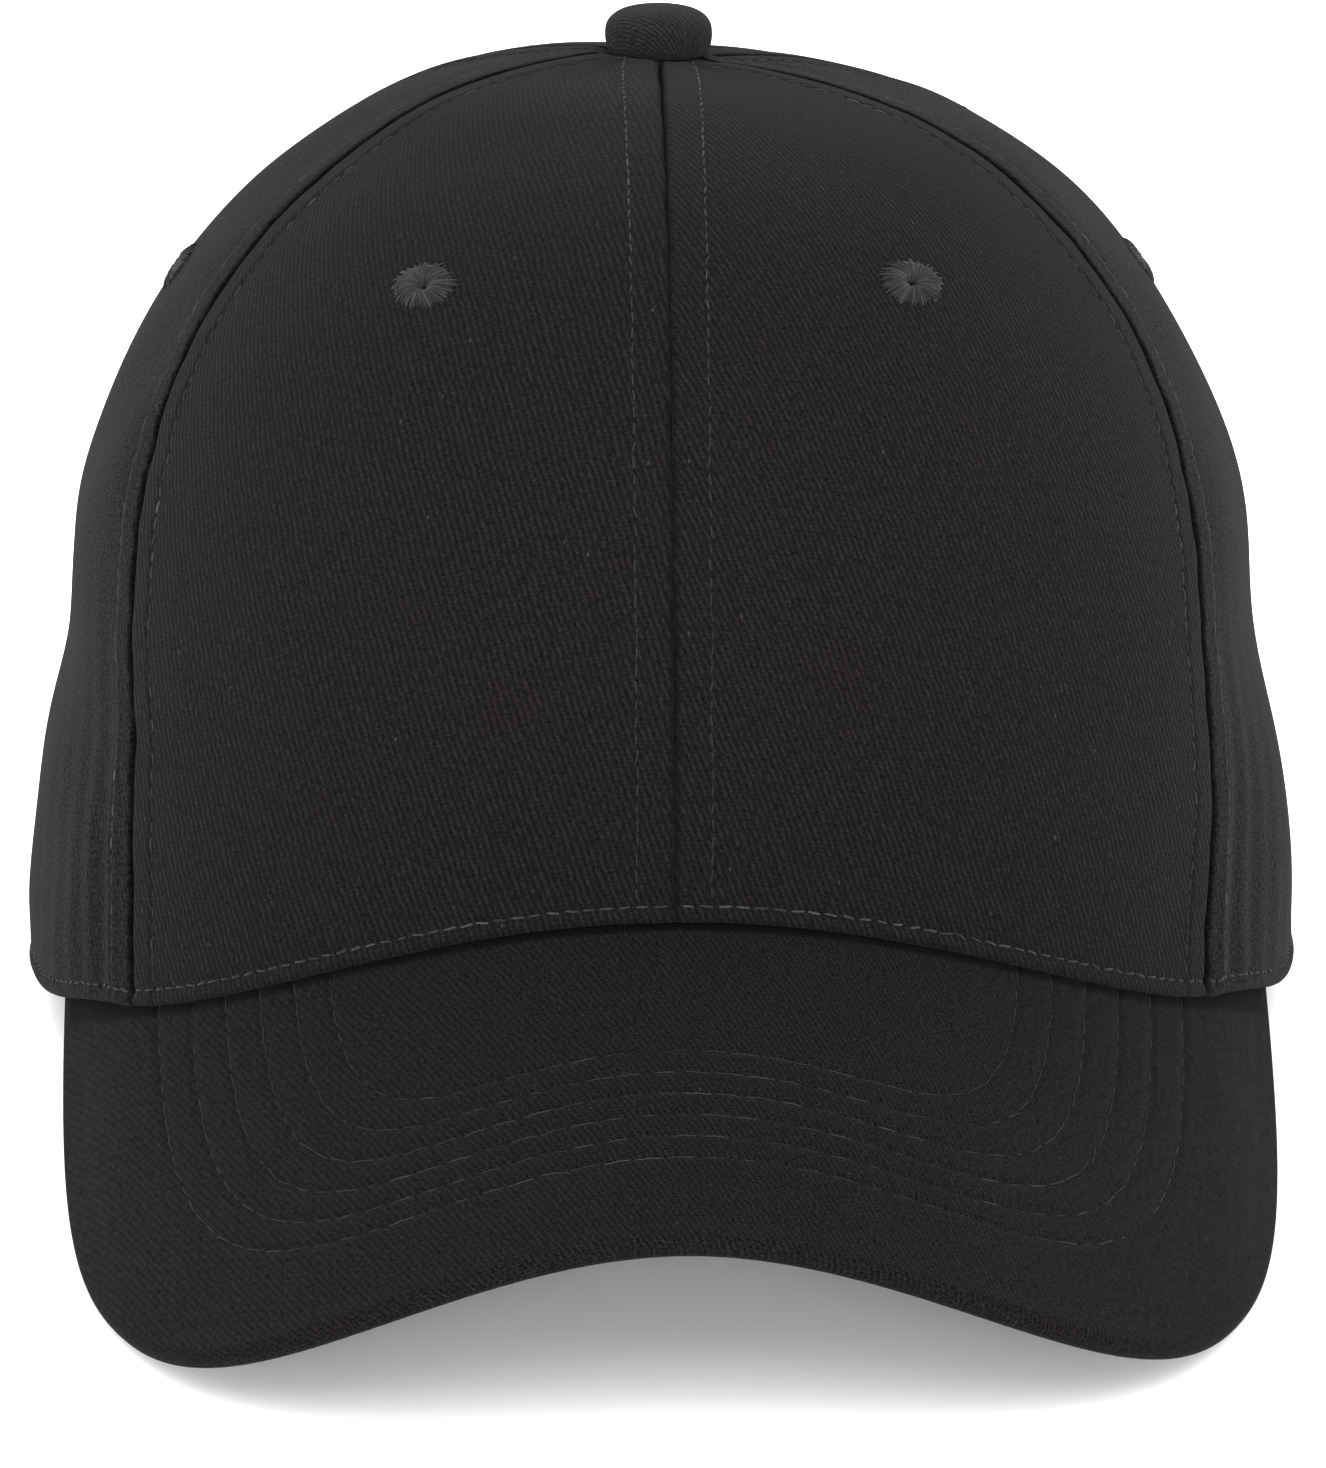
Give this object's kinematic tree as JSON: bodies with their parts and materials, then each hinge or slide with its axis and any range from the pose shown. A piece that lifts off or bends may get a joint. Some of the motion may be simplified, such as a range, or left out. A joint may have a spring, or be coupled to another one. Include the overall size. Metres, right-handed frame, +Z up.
{
  "type": "baseball cap",
  "caption": "Structured panelled cap with a curved stitched brim, fabric-covered top button, stitched vent eyelets and a rear strap closed by a flip-lever buckle.",
  "frame": {"origin": "on the floor under the centre of the resting cap's bounding box", "axes": "+Z up from the floor, -Y towards the brim's front edge, +X towards the wearer's left"},
  "size_m": [0.1838, 0.2572, 0.1446],
  "materials": {
    "twill": "black brushed cotton twill",
    "buckram": "stiff open-weave lining cloth",
    "seam_tape": "plain woven binding tape",
    "sweatband": "folded cotton twill band",
    "brim_board": "plain moulded sheet",
    "thread": "satin-stitched thread",
    "button_metal": "plain pressed steel",
    "buckle_metal": "satin nickel plate"
  },
  "bodies": {
    "cap": {"front_panel_left": "twill", "side_panel_left": "twill", "rear_panel_left": "twill", "front_panel_right": "twill", "side_panel_right": "twill", "rear_panel_right": "twill", "brim_top_cover": "twill", "brim_under_cover": "twill", "button_cover": "twill", "buckle_tab": "twill", "front_stiffener_left": "buckram", "front_stiffener_right": "buckram", "seam_tape_front": "seam_tape", "seam_tape_front_left": "seam_tape", "seam_tape_front_right": "seam_tape", "seam_tape_rear": "seam_tape", "seam_tape_rear_left": "seam_tape", "seam_tape_rear_right": "seam_tape", "rear_opening_tape": "seam_tape", "sweatband": "sweatband", "brim_board": "brim_board", "eyelet_front_left": "thread", "eyelet_side_left": "thread", "eyelet_rear_left": "thread", "eyelet_front_right": "thread", "eyelet_side_right": "thread", "eyelet_rear_right": "thread", "button_shell": "button_metal", "button_back": "button_metal", "buckle_frame": "buckle_metal", "buckle_pin": "buckle_metal"},
    "strap": {"closure_strap": "twill"},
    "lever": {"buckle_lever": "buckle_metal"}
  },
  "joints": [
    {"name": "strap_adjust", "type": "hinge", "parent": "cap", "child": "strap", "pos_m": [0, 0.03593, 0.02876], "axis": [0, 0.1777, 0.9841], "range_deg": [-8, 15]},
    {"name": "lever_flip", "type": "hinge", "parent": "cap", "child": "lever", "pos_m": [-0.02274, 0.12245, 0.01314], "axis": [0, -0.1777, -0.9841], "range_deg": [0, 100]}
  ]
}
